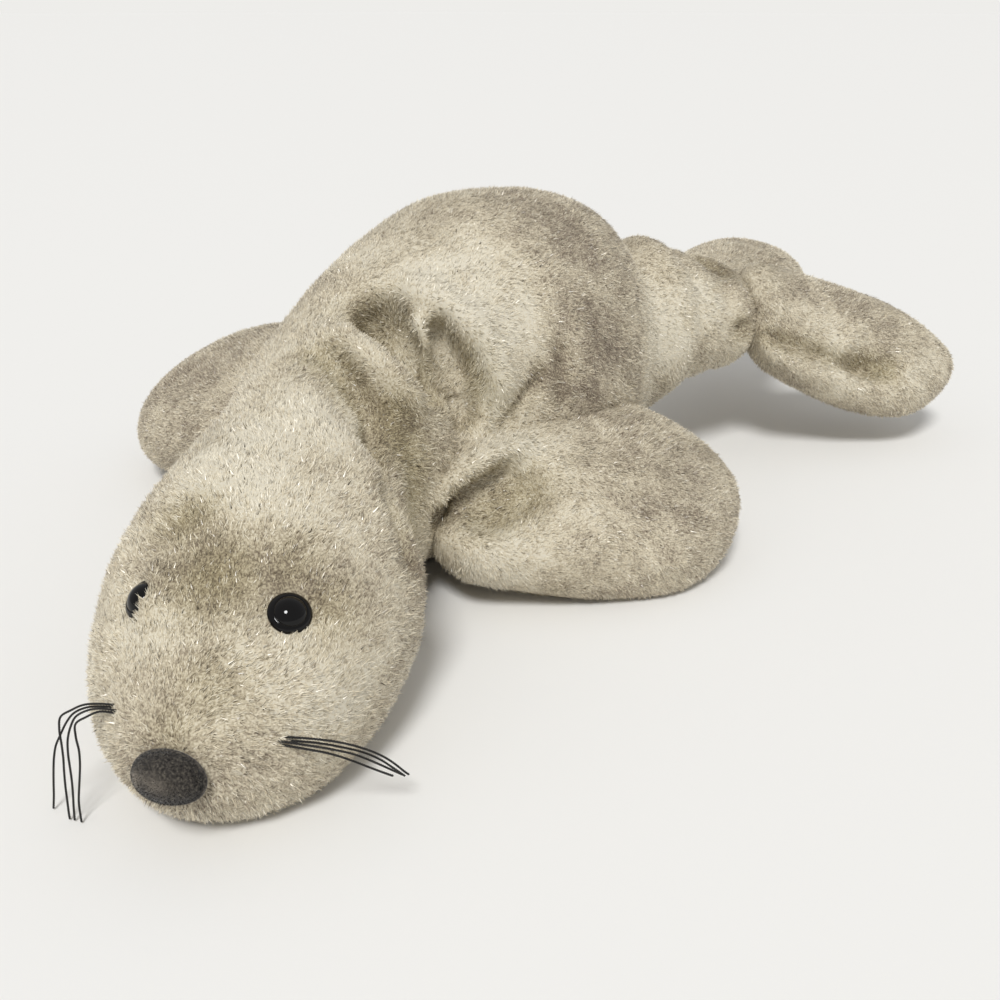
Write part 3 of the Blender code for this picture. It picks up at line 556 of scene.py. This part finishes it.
def makePile(name, cover, line, lowShare, highShare, seed):
    rng = np.random.default_rng(seed)
    vertices, vertexNormals, corners = skinTriangles(cover.data)
    a, b, c = (vertices[corners[:, k]] for k in range(3))
    areas = np.linalg.norm(np.cross(b - a, c - a), axis=1) / 2
    middles = (a + b + c) / 3
    _, share, _ = alongLine(middles, np.array(line) * mm)
    wanted = (share >= lowShare) & (share < highShare) & (middles[:, 2] > pile["bareBelow"])
    weights = areas * wanted
    density = pile["perArea"] * 1
    tufts = int(weights.sum() * density / pile["clump"])
    picked = rng.choice(len(corners), tufts, p=weights / weights.sum())
    # even places on the triangles
    r1, r2 = np.sqrt(rng.random(tufts)), rng.random(tufts)
    mix = np.stack([1 - r1, r1 * (1 - r2), r1 * r2], 1)[:, :, None]
    roots = (np.stack([a[picked], b[picked], c[picked]], 1) * mix).sum(1)
    normals = unit((vertexNormals[corners[picked]] * mix).sum(1))
    keep = np.ones(tufts, bool)
    for moulding in mouldings:
        keep &= besideMoulding(roots, moulding) > 1
    roots, normals = roots[keep], normals[keep]
    share, flow, toneAndPaintedLight, paintedTanShade = napField(roots, normals, line)
    # tufts are numbered in bands along the line and columns across them, so that neighbours on
    # the toy come one after another
    order = np.lexsort((np.floor(roots[:, 0] / pile["columns"]), np.floor(share * pile["bands"])))
    roots, normals, flow = roots[order], normals[order], flow[order]
    toneAndPaintedLight, paintedTanShade = toneAndPaintedLight[order], paintedTanShade[order]
    count = len(roots)
    lean = pile["lean"] * summedNoise(roots, nap["lean"], 1)
    lean = np.radians(lean + rng.normal(0, pile["leanSpread"], count))
    turn = rng.normal(0, pile["turnSpread"], count)
    side = np.cross(normals, flow)
    flow = flow * np.cos(turn)[:, None] + side * np.sin(turn)[:, None]
    side = np.cross(normals, flow)
    length = pile["length"] * (1 + rng.normal(0, pile["lengthSpread"], count))
    rising = flow * np.cos(lean)[:, None] + normals * np.sin(lean)[:, None]
    tips = roots + length[:, None] * rising
    toneAndPaintedLight = toneAndPaintedLight + rng.normal(0, pile["tuftTone"], count)

    def repeat(values):
        return np.repeat(values, pile["clump"], axis=0)

    total = count * pile["clump"]
    spread = rng.normal(0, pile["tuft"] * pile["tuftFill"], (total, 2))
    root = repeat(roots) + repeat(flow) * spread[:, :1] + repeat(side) * spread[:, 1:]
    root -= repeat(normals) * pile["sink"]
    scatter = rng.normal(0, pile["scatter"], (total, 3))
    tip = repeat(tips) + pile["follow"] * (root - repeat(roots)) + scatter
    tip = root + (tip - root) * rng.uniform(*pile["bladeLengths"], (total, 1))
    for ends in (tip, root):
        ends[:, 2] = np.maximum(ends[:, 2], pile["floorGap"])
    way = unit(tip - root)
    across = unit(np.cross(way, repeat(normals)))
    half = across * (pile["halfWidth"] * rng.uniform(*pile["bladeWidths"], (total, 1)))
    points = np.stack([root - half, root + half, tip], 1).reshape(-1, 3)
    faces = np.arange(total * 3).reshape(-1, 3)
    mesh = quickMesh(name, points, faces)
    skinNormal = repeat(normals)
    bladeNormal = unit(skinNormal - way * np.sum(skinNormal * way, axis=1)[:, None])
    glint = repeat(rng.normal(0, pile["tuftGlint"], (count, 3)))
    glint = glint + rng.normal(0, pile["bladeGlint"], (total, 3))
    shown = unit(pile["clothNormal"] * skinNormal + pile["bladeNormal"] * bladeNormal + glint)
    mesh.normals_split_custom_set_from_vertices(np.repeat(shown, 3, axis=0).astype(np.float32))
    toneAndPaintedLight = np.clip(repeat(toneAndPaintedLight) + rng.normal(0, pile["bladeTone"], total), 0, 1)
    storeValues(mesh, "toneAndPaintedLight", np.repeat(toneAndPaintedLight, 3))
    storeValues(mesh, "paintedTanShade", np.repeat(np.clip(repeat(paintedTanShade), 0, 1), 3))
    # depth drives the painted shade at the roots
    storeValues(mesh, "depth", np.tile([0.0, 0.0, 1.0], total))  # 0 at the root, 1 at the tip
    # one small cell of the picture for each blade, so neighbours on the toy are neighbours there
    wide = math.ceil(math.sqrt(total))
    column, row = np.arange(total) % wide, np.arange(total) // wide
    blade = np.array([(0.15, 0.15), (0.75, 0.15), (0.45, 0.8)])
    cell = np.stack([column, row], 1)[:, None] + blade[None]
    layer = mesh.uv_layers.new(name="OFBake")
    layer.data.foreach_set("uv", (cell / wide).astype(np.float32).ravel())
    newPiece(name, mesh, plushPile)
    print("pile", name, total)


# the backing cloth takes the pile's tone with its painted light, scaled by clothTone, the painted
# tan shade, and depth 0, which paints it all as dark as the roots: painted shade under the pile
for name, cover in covers.items():
    vertices, vertexNormals, _ = skinTriangles(cover.data)
    _, _, toneAndPaintedLight, paintedTanShade = napField(vertices, vertexNormals, skins[name]["line"])
    for key, values in (("toneAndPaintedLight", toneAndPaintedLight * pile["clothTone"]), ("paintedTanShade", paintedTanShade), ("depth", toneAndPaintedLight * 0)):
        storeValues(cover.data, key, np.clip(values, 0, 1))

# the body's pile is in four pieces: from and to which share of its line, and the seed
bodyPile = {
    "head_pile": (-1, 0.30, 11),
    "neck_pile": (0.30, 0.52, 12),
    "trunk_pile": (0.52, 0.72, 13),
    "tail_pile": (0.72, 2, 14),
}
for name, (lowShare, highShare, seed) in bodyPile.items():
    makePile(name, covers["body"], bodyLine, lowShare, highShare, seed)
for seed, name in enumerate(list(skins)[1:], 15):
    makePile(name + "_pile", covers[name], skins[name]["line"], -1, 2, seed)


whiskerRoutes = {  # mm
    "whisker_left_1": (
        (128.7, -211.3, 29.3), (131.9, -208.9, 28.8), (135.1, -206.4, 28.2),
        (137.7, -203.5, 27.1), (139.8, -200.4, 25.5), (141.2, -197.2, 23.4),
        (142.5, -194.2, 20.9), (143.8, -191.4, 18.4), (145.2, -188.6, 15.8),
        (146.7, -185.8, 13.2),
    ),
    "whisker_left_2": (
        (129.0, -211.1, 28.2), (132.1, -208.7, 27.6), (135.0, -206.1, 26.7),
        (137.1, -203.1, 25.2), (138.8, -200.1, 23.2), (140.0, -197.1, 20.8),
        (141.1, -194.2, 18.3), (142.3, -191.3, 15.8), (143.7, -188.4, 13.4),
        (144.3, -186.9, 12.2),
    ),
    "whisker_left_3": (
        (129.2, -209.4, 29.8), (132.5, -207.0, 29.7), (135.6, -204.5, 29.4),
        (138.4, -201.7, 28.6), (140.8, -198.7, 27.2), (142.3, -195.6, 25.1),
        (143.6, -192.6, 22.7), (144.7, -189.8, 20.0), (145.7, -187.3, 17.0),
        (146.7, -185.0, 13.8), (147.2, -183.8, 12.3),
    ),
    "whisker_left_4": (
        (129.5, -209.3, 28.7), (132.2, -206.4, 28.1), (134.8, -203.5, 27.3),
        (137.2, -200.6, 26.1), (139.1, -197.5, 24.4), (140.5, -194.4, 22.4),
        (141.5, -191.4, 19.9), (142.3, -188.7, 17.2), (143.1, -186.2, 14.2),
        (143.9, -183.7, 11.1), (144.2, -182.5, 9.6),
    ),
    "whisker_right_1": (
        (92.1, -233.9, 33.8), (89.1, -236.5, 34.4), (86.0, -238.8, 33.6), (83.3, -240.8, 31.5),
        (81.9, -242.1, 28.1), (81.1, -243.0, 24.3), (81.2, -243.6, 20.4), (81.5, -243.9, 16.4),
        (82.0, -244.3, 12.5), (82.1, -244.7, 8.5), (82.2, -245.2, 4.6), (82.3, -245.6, 0.6),
    ),
    "whisker_right_2": (
        (91.6, -234.2, 33.0), (88.7, -236.9, 33.5), (86.3, -239.5, 32.1), (83.8, -241.4, 29.8),
        (83.7, -241.9, 26.0), (84.3, -242.0, 22.1), (84.4, -242.4, 18.2), (84.2, -243.0, 14.3),
        (84.0, -243.7, 10.4), (83.8, -244.3, 6.5), (84.2, -244.7, 2.6), (84.4, -244.8, 0.6),
    ),
    "whisker_right_3": (
        (90.4, -233.4, 34.6), (87.4, -236.1, 34.9), (84.3, -238.6, 34.5), (81.4, -240.7, 32.7),
        (78.8, -242.7, 30.4), (78.5, -243.5, 26.6), (79.1, -243.9, 22.6), (79.5, -244.3, 18.6),
        (79.6, -244.8, 14.6), (79.9, -245.3, 10.6), (80.3, -245.7, 6.6), (80.7, -246.1, 2.6),
        (80.9, -246.2, 0.6),
    ),
    "whisker_right_4": (
        (89.9, -233.6, 33.7), (86.5, -235.9, 33.6), (83.2, -237.9, 32.7), (80.3, -239.8, 30.7),
        (78.3, -241.3, 27.6), (76.8, -242.6, 24.0), (75.4, -243.8, 20.4), (74.7, -244.6, 16.6),
        (74.3, -245.2, 12.6), (74.0, -245.7, 8.6), (73.8, -246.2, 4.6), (73.5, -246.8, 0.6),
    ),
}
thread = {
    "plies": 3,
    "plyRadius": 0.15 * mm,
    "plyOffset": 0.2 * mm,
    "lay": 2.2 * mm,  # the length of one whole twist
    "step": 0.3 * mm,
    "sides": 8,  # an even number
    "floorGap": 0.1 * mm,
}


def makeThreadMaterial():
    # waxed polyester thread, twisted from three plies: black, with a dull waxy shine on each ply
    made, tree, output = newMaterial("waxed thread, twisted")
    place = addNode(tree, "ShaderNodeTexCoord")
    # wax lies in smears about 1 mm long
    grain = addNode(
        tree,
        "ShaderNodeTexNoise",
        {"Scale": 900.0, "Detail": 3.0},
        {"Vector": place.outputs["Object"]},
    )
    colour = colourRamp(tree, ((0.3, "#0B0A0A"), (0.8, "#2A2826")), grain.outputs["Fac"])
    rough = addNode(
        tree, "ShaderNodeMapRange", {"To Min": 0.35, "To Max": 0.6}, {"Value": grain.outputs["Fac"]}
    )
    shader = addNode(
        tree,
        "ShaderNodeBsdfPrincipled",
        {"IOR": 1.5},
        {"Base Color": colour, "Roughness": rough.outputs["Result"]},
    )
    tree.links.new(shader.outputs[0], output.inputs["Surface"])
    return made


def smoothLine(line, step):
    # a Catmull-Rom curve through the points, cut in even steps, and its length
    line = np.array(line, float)
    padded = np.vstack([2 * line[0] - line[1], line, 2 * line[-1] - line[-2]])
    dense = []
    for i in range(1, len(padded) - 2):
        p, q, r, s = padded[i - 1 : i + 3]
        for t in np.linspace(0, 1, 20, endpoint=False):
            square, cube = 2 * p - 5 * q + 4 * r - s, 3 * q - p - 3 * r + s
            dense.append(0.5 * (2 * q + (r - p) * t + square * t**2 + cube * t**3))
    dense = np.array(dense + [line[-1]])
    reached = np.concatenate([[0], np.cumsum(np.linalg.norm(np.diff(dense, axis=0), axis=1))])
    at = np.linspace(0, reached[-1], int(reached[-1] / step) + 1)
    return np.stack([np.interp(at, reached, dense[:, k]) for k in range(3)], 1), reached[-1]


def makeWhisker(name, route, made):
    line, length = smoothLine(np.array(route) * mm, thread["step"])
    ahead = unit(np.gradient(line, axis=0))
    level = unit(np.cross(ahead, [0.3, 0.1, 1.0]))
    up = np.cross(level, ahead)
    reached = np.linspace(0, length, len(line))
    sides = thread["sides"]
    around = np.linspace(0, 2 * math.pi, sides, endpoint=False)
    ring = np.cos(around)[None, :, None] * level[:, None]
    ring = ring + np.sin(around)[None, :, None] * up[:, None]
    i, j = np.meshgrid(np.arange(len(line) - 1), np.arange(sides), indexing="ij")
    startCap = np.array([(0, n, n - 1, n - 2) for n in range(sides - 1, 1, -2)])
    endCap = np.array([(0, n, n + 1, n + 2) for n in range(1, sides - 1, 2)])
    points, faces = [], []
    for ply in range(thread["plies"]):
        turn = 2 * math.pi * (reached / thread["lay"] + ply / thread["plies"])
        aside = np.cos(turn)[:, None] * level + np.sin(turn)[:, None] * up
        middle = line + thread["plyOffset"] * aside
        base = len(points) * len(line) * sides
        points.append((middle[:, None] + thread["plyRadius"] * ring).reshape(-1, 3))
        here, there, k = base + i * sides, base + (i + 1) * sides, (j + 1) % sides
        faces.append(np.stack([here + j, here + k, there + k, there + j], -1).reshape(-1, 4))
        faces += [base + startCap, base + (len(line) - 1) * sides + endCap]
    points = np.vstack(points)
    points[:, 2] = np.maximum(points[:, 2], thread["floorGap"])
    mesh = quickMesh(name + "_thread", points, np.vstack(faces))
    piece = newPiece(name + "_thread", mesh, made)
    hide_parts(name)


waxedThread = makeThreadMaterial()
for name, route in whiskerRoutes.items():
    makeWhisker(name, route, waxedThread)
print("whiskers made")


def makeEyeMaterial():
    # acrylic, injection moulded and polished: deep black, and a sharp reflection of the room
    made, tree, output = newMaterial("black acrylic, moulded")
    place = addNode(tree, "ShaderNodeTexCoord")
    # smears of handling, 4 mm
    haze = addNode(
        tree,
        "ShaderNodeTexNoise",
        {"Scale": 260.0, "Detail": 4.0},
        {"Vector": place.outputs["Object"]},
    )
    rough = addNode(
        tree, "ShaderNodeMapRange", {"To Min": 0.03, "To Max": 0.09}, {"Value": haze.outputs["Fac"]}
    )
    shader = addNode(
        tree,
        "ShaderNodeBsdfPrincipled",
        {"Base Color": toLinear("#060505"), "IOR": 1.49, "Specular IOR Level": 0.3},
        {"Roughness": rough.outputs["Result"]},
    )
    tree.links.new(shader.outputs[0], output.inputs["Surface"])
    return made


def makeNoseMaterial():
    # ABS, moulded and flocked with short nylon: charcoal with no shine, rubbed pale at one edge
    made, tree, output = newMaterial("ABS, flocked")
    place = addNode(tree, "ShaderNodeTexCoord")
    # flock in clumps of 0.6 mm, coarser than its 0.03 mm fibres, and rubbed spots of 5.5 mm
    fibre = addNode(
        tree,
        "ShaderNodeTexNoise",
        {"Scale": 1600.0, "Detail": 4.0},
        {"Vector": place.outputs["Object"]},
    )
    spots = addNode(
        tree,
        "ShaderNodeTexNoise",
        {"Scale": 180.0, "Detail": 3.0},
        {"Vector": place.outputs["Object"]},
    )
    rubbed = addNode(tree, "ShaderNodeAttribute", {"attribute_name": "worn"})
    charcoal = ((0.3, "#1A1816"), (0.5, "#3A3632"), (0.72, "#5F5A50"))
    flock = colourRamp(tree, charcoal, fibre.outputs["Fac"])
    bare = colourRamp(tree, ((0.3, "#5A5248"), (0.7, "#A2988A")), spots.outputs["Fac"])
    both = addNode(
        tree,
        "ShaderNodeMix",
        {"data_type": "RGBA"},
        {"Factor": rubbed.outputs["Fac"], 6: flock, 7: bare},
    )
    bump = addNode(
        tree,
        "ShaderNodeBump",
        {"Strength": 0.6, "Distance": 0.2 * mm},
        {"Height": fibre.outputs["Fac"]},
    )
    shader = addNode(
        tree,
        "ShaderNodeBsdfPrincipled",
        {"Roughness": 0.95, "IOR": 1.5, "Specular IOR Level": 0.2, "Sheen Weight": 0.3},
        {"Base Color": both.outputs[2], "Normal": bump.outputs["Normal"]},
    )
    tree.links.new(shader.outputs[0], output.inputs["Surface"])
    return made


def makeWasherMaterial():
    # polyethylene, injection moulded: milky white, slightly waxy
    made, tree, output = newMaterial("polyethylene, moulded")
    place = addNode(tree, "ShaderNodeTexCoord")
    # milky streaks of 3 mm, from the flow in the mould
    streaks = addNode(
        tree,
        "ShaderNodeTexNoise",
        {"Scale": 300.0},
        {"Vector": place.outputs["Object"]},
    )
    colour = colourRamp(tree, ((0.3, "#DAD8D0"), (0.7, "#EDEBE4")), streaks.outputs["Fac"])
    shader = addNode(
        tree, "ShaderNodeBsdfPrincipled", {"Roughness": 0.4, "IOR": 1.51}, {"Base Color": colour}
    )
    tree.links.new(shader.outputs[0], output.inputs["Surface"])
    return made


def placedAt(centre, facing, level):
    z = Vector(facing).normalized()
    x = (Vector(level) - z * z.dot(Vector(level))).normalized()
    placed = Matrix((x, z.cross(x), z)).transposed().to_4x4()
    placed.translation = Vector(centre) * mm
    return placed


def turnedMesh(name, profile, stretch, placed, steps=72):
    # profile: (radius, height) in mm from the middle of the top outward and down
    profile = np.array(profile, float) * mm
    around = np.linspace(0, 2 * math.pi, steps, endpoint=False)
    ring = profile[1:, 0, None] * np.cos(around) * stretch, profile[1:, 0, None] * np.sin(around)
    height = np.repeat(profile[1:, 1:], steps, 1)
    points = np.vstack([[[0, 0, profile[0, 1]]], np.stack([*ring, height], -1).reshape(-1, 3)])
    j = np.arange(steps)
    k = (j + 1) % steps
    faces = [np.stack([j * 0, 1 + j, 1 + k], 1)]
    for i in range(len(profile) - 2):
        a, b = 1 + i * steps, 1 + (i + 1) * steps
        faces += [np.stack([a + j, b + j, b + k], 1), np.stack([a + j, b + k, a + k], 1)]
    last = 1 + (len(profile) - 2) * steps
    points = np.vstack([points, [[0, 0, profile[-1, 1]]]])
    faces.append(np.stack([last + j, j * 0 + len(points) - 1, last + k], 1))
    rotation, centre = np.array(placed.to_3x3()), np.array(placed.translation)
    return quickMesh(name, points @ rotation.T + centre, np.vstack(faces))


def roundTop(radius, rise, base, steps=14):
    turns = np.linspace(0, math.pi / 2, steps)
    return [(radius * math.sin(turn), base + rise * math.cos(turn)) for turn in turns]


# the eye is a dome on a brim, with a fine step where they meet; mm, as (radius, height) pairs
eyeShape = {"ball": 5.6, "dome": 4.3, "seat": 1.85}
# each eye's own sideways direction
eyeLevels = {"eye_left": (0.7066, 0.5988, -0.3771), "eye_right": (0.9331, 0.2191, 0.2851)}
eyeRise = math.sqrt(eyeShape["ball"] ** 2 - eyeShape["dome"] ** 2)
eyeProfile = [
    (r, eyeShape["seat"] + math.sqrt(eyeShape["ball"] ** 2 - r * r) - eyeRise)
    for r in np.linspace(0, eyeShape["dome"], 16)
]
eyeProfile += [  # the step, the brim and the stem
    (4.34, 1.70), (4.42, 1.64), (4.52, 1.68), (4.66, 1.66), (4.9, 1.52), (5.3, 1.24), (5.7, 0.86),
    (5.92, 0.52), (6.0, 0.3), (5.95, 0.12), (5.7, 0.0), (1.75, 0.0), (1.75, -11.0),
]
acrylic, flockedAbs, polyethylene = makeEyeMaterial(), makeNoseMaterial(), makeWasherMaterial()
for node, level in eyeLevels.items():
    centre, facing, _, _ = mouldings[node]
    eyeMesh = turnedMesh(node + "_dome", eyeProfile, 1, placedAt(centre, facing, level))
    eye = newPiece(node + "_dome", eyeMesh, acrylic)
    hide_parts(node)

# the nose is an oval dome with a moulded edge, flocked all over; mm
noseShape = {
    "halfHeight": 7.1,
    "domeShare": 0.93,  # of the half height, inside the moulded edge
    "stretch": 21.0 / 14.2,
    "rise": 4.9,
    "edge": 1.2,
    "fibres": 9000,
    "fibreSpread": 0.45,
    "fibreHalfWidth": 0.05,
    "fibreLength": (0.25, 0.5),
    "fibreSink": 0.05,
    "level": (0.8988, 0.4384, 0),  # its sideways direction
}
# where handling has rubbed the flock thin: how much, where and how wide, one edge and the middle
noseWear = ((1.2, (-8.0, -1.2), (2.3, 2.6)), (0.35, (-1, -0.5), (4.5, 2.2)))
domeRadius = noseShape["domeShare"] * noseShape["halfHeight"]
noseProfile = roundTop(domeRadius, noseShape["rise"], noseShape["edge"], 20)
noseProfile += [  # the edge and the stem
    (6.75, 1.1), (6.95, 0.98), (7.08, 0.75), (7.1, 0.5), (7.0, 0.2), (6.6, 0.0), (1.2, 0.0),
    (1.2, -11.0),
]
centre, facing, _, _ = mouldings["nose"]
nosePlace = placedAt(centre, facing, noseShape["level"])
noseMesh = turnedMesh("nose_dome", noseProfile, noseShape["stretch"], nosePlace)
nose = newPiece("nose_dome", noseMesh, flockedAbs)
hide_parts("nose")


def markWorn(piece):
    flat = (meshPoints(piece.data) / mm - np.array(centre)) @ np.array(nosePlace.to_3x3())
    worn = 0
    for strength, at, wide in noseWear:
        away = (flat[:, :2] - np.array(at)) / np.array(wide)
        worn = worn + strength * np.exp(-np.sum(away**2, axis=1))
    storeValues(piece.data, "worn", np.clip(worn, 0, 1))


markWorn(nose)


def makeFlock(shape, placed, made):
    # short nylon fibres that stand on the dome
    rng = np.random.default_rng(41)
    total = shape["fibres"]
    turn, reach = rng.random(total) * 2 * math.pi, np.sqrt(rng.random(total))
    tilt = reach * math.pi / 2 * 0.97  # just short of the dome's foot
    high, long, rise = domeRadius, domeRadius * shape["stretch"], shape["rise"]
    x, y = long * np.sin(tilt) * np.cos(turn), high * np.sin(tilt) * np.sin(turn)
    root = np.stack([x, y, shape["edge"] + rise * np.cos(tilt)], 1)
    slope = [x / long**2, y / high**2, (root[:, 2] - shape["edge"]) / rise**2]
    normal = unit(np.stack(slope, 1))
    way = unit(normal + rng.normal(0, shape["fibreSpread"], (total, 3)))
    across = unit(np.cross(way, rng.normal(0, 1, (total, 3)))) * shape["fibreHalfWidth"]
    tip = root + way * rng.uniform(*shape["fibreLength"], (total, 1))
    root -= normal * shape["fibreSink"]
    points = np.stack([root - across, root + across, tip], 1).reshape(-1, 3) * mm
    rotation, centre = np.array(placed.to_3x3()), np.array(placed.translation)
    faces = np.arange(total * 3).reshape(-1, 3)
    mesh = quickMesh("nose_flock", points @ rotation.T + centre, faces)
    shown = np.repeat(normal @ rotation.T, 3, axis=0)
    mesh.normals_split_custom_set_from_vertices(shown.astype(np.float32))
    return newPiece("nose_flock", mesh, made)


markWorn(makeFlock(noseShape, nosePlace, flockedAbs))
for name in ("eye_washer_left", "eye_washer_right", "nose_washer"):
    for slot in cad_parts[name].material_slots:
        slot.material = polyethylene
print("mouldings made")


studio = {
    "floor": "#E9E8E5",
    "floorReach": 40,  # metres each way
    "behind": "#EEEDEA",
    "sky": "#FFFFFF",
    "skyStrength": 0.5,
    "key": 2.35,
    "keyAngle": 16,  # degrees across, which softens the shadow
    "keyFrom": (0.33, -0.52, 0.79),
}

floorCorners = np.array([(-1, -1, 0), (1, -1, 0), (1, 1, 0), (-1, 1, 0)], float)
floorFaces = np.array([[0, 1, 2, 3]])
floorMesh = quickMesh("floor", floorCorners * studio["floorReach"], floorFaces)
floorPlane = bpy.data.objects.new("floor", floorMesh)
scene.collection.objects.link(floorPlane)
floorMade, tree, output = newMaterial("floor paint, matt")
shader = addNode(
    tree, "ShaderNodeBsdfPrincipled", {"Base Color": toLinear(studio["floor"]), "Roughness": 0.8}
)
tree.links.new(shader.outputs[0], output.inputs["Surface"])
floorMesh.materials.append(floorMade)

# the camera sees the floor's colour behind it, and everything else sees an even white room
world = bpy.data.worlds.new("studio")
world.use_nodes = True
tree = world.node_tree
tree.nodes.clear()
sky, skyStrength = toLinear(studio["sky"]), studio["skyStrength"]
room = addNode(tree, "ShaderNodeBackground", {"Color": sky, "Strength": skyStrength})
floorTone = toLinear(studio["behind"])
behind = addNode(tree, "ShaderNodeBackground", {"Color": floorTone, "Strength": 1.0})
ray = addNode(tree, "ShaderNodeLightPath")
seen = addNode(
    tree,
    "ShaderNodeMixShader",
    {},
    {0: ray.outputs["Is Camera Ray"], 1: room.outputs[0], 2: behind.outputs[0]},
)
output = addNode(tree, "ShaderNodeOutputWorld", {}, {"Surface": seen.outputs[0]})
scene.world = world

key = bpy.data.objects.new("key", bpy.data.lights.new("key", "SUN"))
key.data.energy = studio["key"]
key.data.angle = math.radians(studio["keyAngle"])
key.rotation_euler = Vector(studio["keyFrom"]).to_track_quat("Z", "Y").to_euler()
scene.collection.objects.link(key)
print("studio lit")
